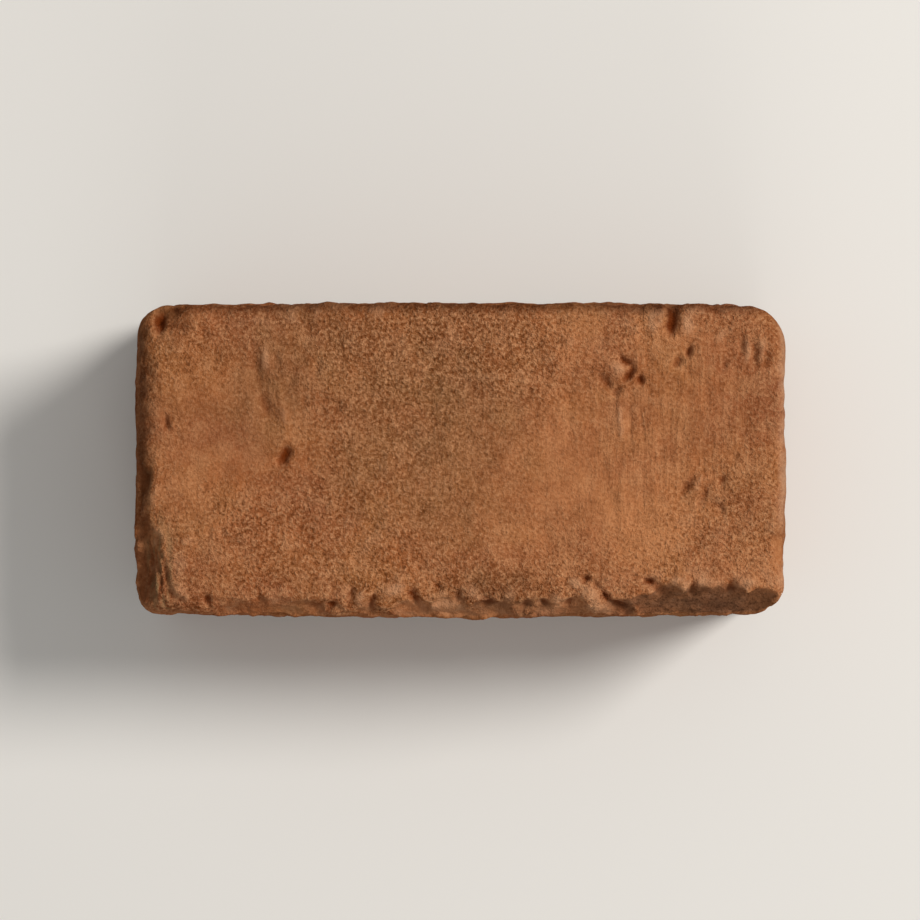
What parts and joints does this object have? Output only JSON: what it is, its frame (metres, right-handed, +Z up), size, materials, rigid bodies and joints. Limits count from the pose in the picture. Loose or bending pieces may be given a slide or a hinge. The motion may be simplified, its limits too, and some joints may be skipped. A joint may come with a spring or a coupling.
{
  "type": "cobble brick",
  "caption": "Tumbled clay cobble brick with a worn, dented face, rounded and chipped arrises and a flat bed, laid as a paving or walling unit.",
  "frame": {"origin": "middle of the bed, the flat face that the brick lies on", "axes": "+X along the brick's length, +Y across its width, +Z up out of its worn face"},
  "size_m": [0.1998, 0.0978, 0.065],
  "materials": {
    "fired_clay": "matt, sand-faced and tumbled, with dark soil in its chips"
  },
  "bodies": {
    "root": {"cobble_brick": "fired_clay"}
  },
  "joints": []
}
